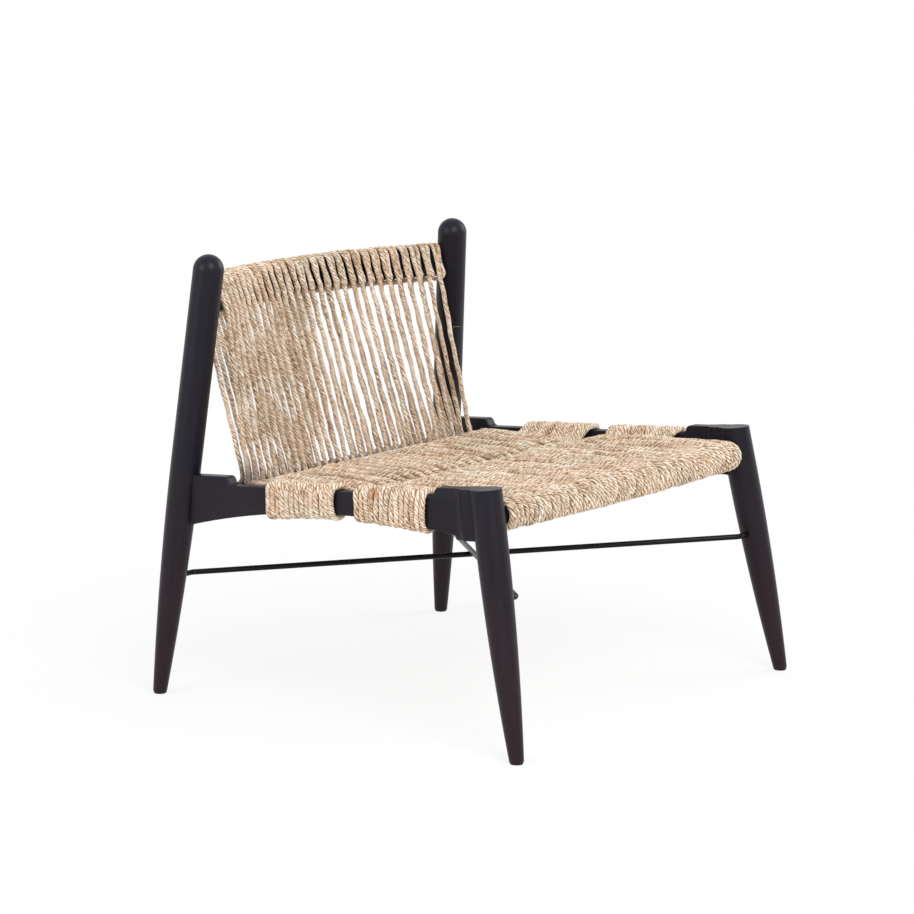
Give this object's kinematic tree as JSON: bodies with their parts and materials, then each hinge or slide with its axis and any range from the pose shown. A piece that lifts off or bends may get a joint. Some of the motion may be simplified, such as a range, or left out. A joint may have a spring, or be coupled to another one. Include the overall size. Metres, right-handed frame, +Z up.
{
  "type": "lounge chair",
  "caption": "Low armless lounge chair with turned, splayed dark wood legs, shaped side rails, crossed steel brace rods, and a wound and woven natural cord back and seat.",
  "frame": {"origin": "on the floor under the middle of the chair's bounding box", "axes": "+Z up, the sitter faces -Y, +X to the right of a viewer looking along +Y"},
  "size_m": [0.7186, 0.7224, 0.6682],
  "materials": {
    "ebonised_wood": "satin near-black stain over close-grained wood",
    "dowel_wood": "plain beech dowel",
    "black_rod": "satin black paint on steel rod",
    "nail_steel": "bright wire nail",
    "straw_cord": "twisted straw-coloured plant fibre cord, matt"
  },
  "bodies": {
    "root": {"rear_post_left": "ebonised_wood", "rear_post_right": "ebonised_wood", "front_leg_left": "ebonised_wood", "front_leg_right": "ebonised_wood", "side_rail_left": "ebonised_wood", "side_rail_right": "ebonised_wood", "top_rail": "ebonised_wood", "front_rail": "ebonised_wood", "rear_seat_rail": "ebonised_wood", "rear_joint_dowels": "dowel_wood", "front_joint_dowels": "dowel_wood", "top_rail_dowels": "dowel_wood", "brace_rod_lower": "black_rod", "brace_rod_upper": "black_rod", "cord_nails_left": "nail_steel", "cord_nails_right": "nail_steel", "back_cord_left": "straw_cord", "back_cord_middle": "straw_cord", "back_cord_right": "straw_cord", "seat_band_rear": "straw_cord", "seat_band_front": "straw_cord", "seat_web": "straw_cord"}
  },
  "joints": []
}
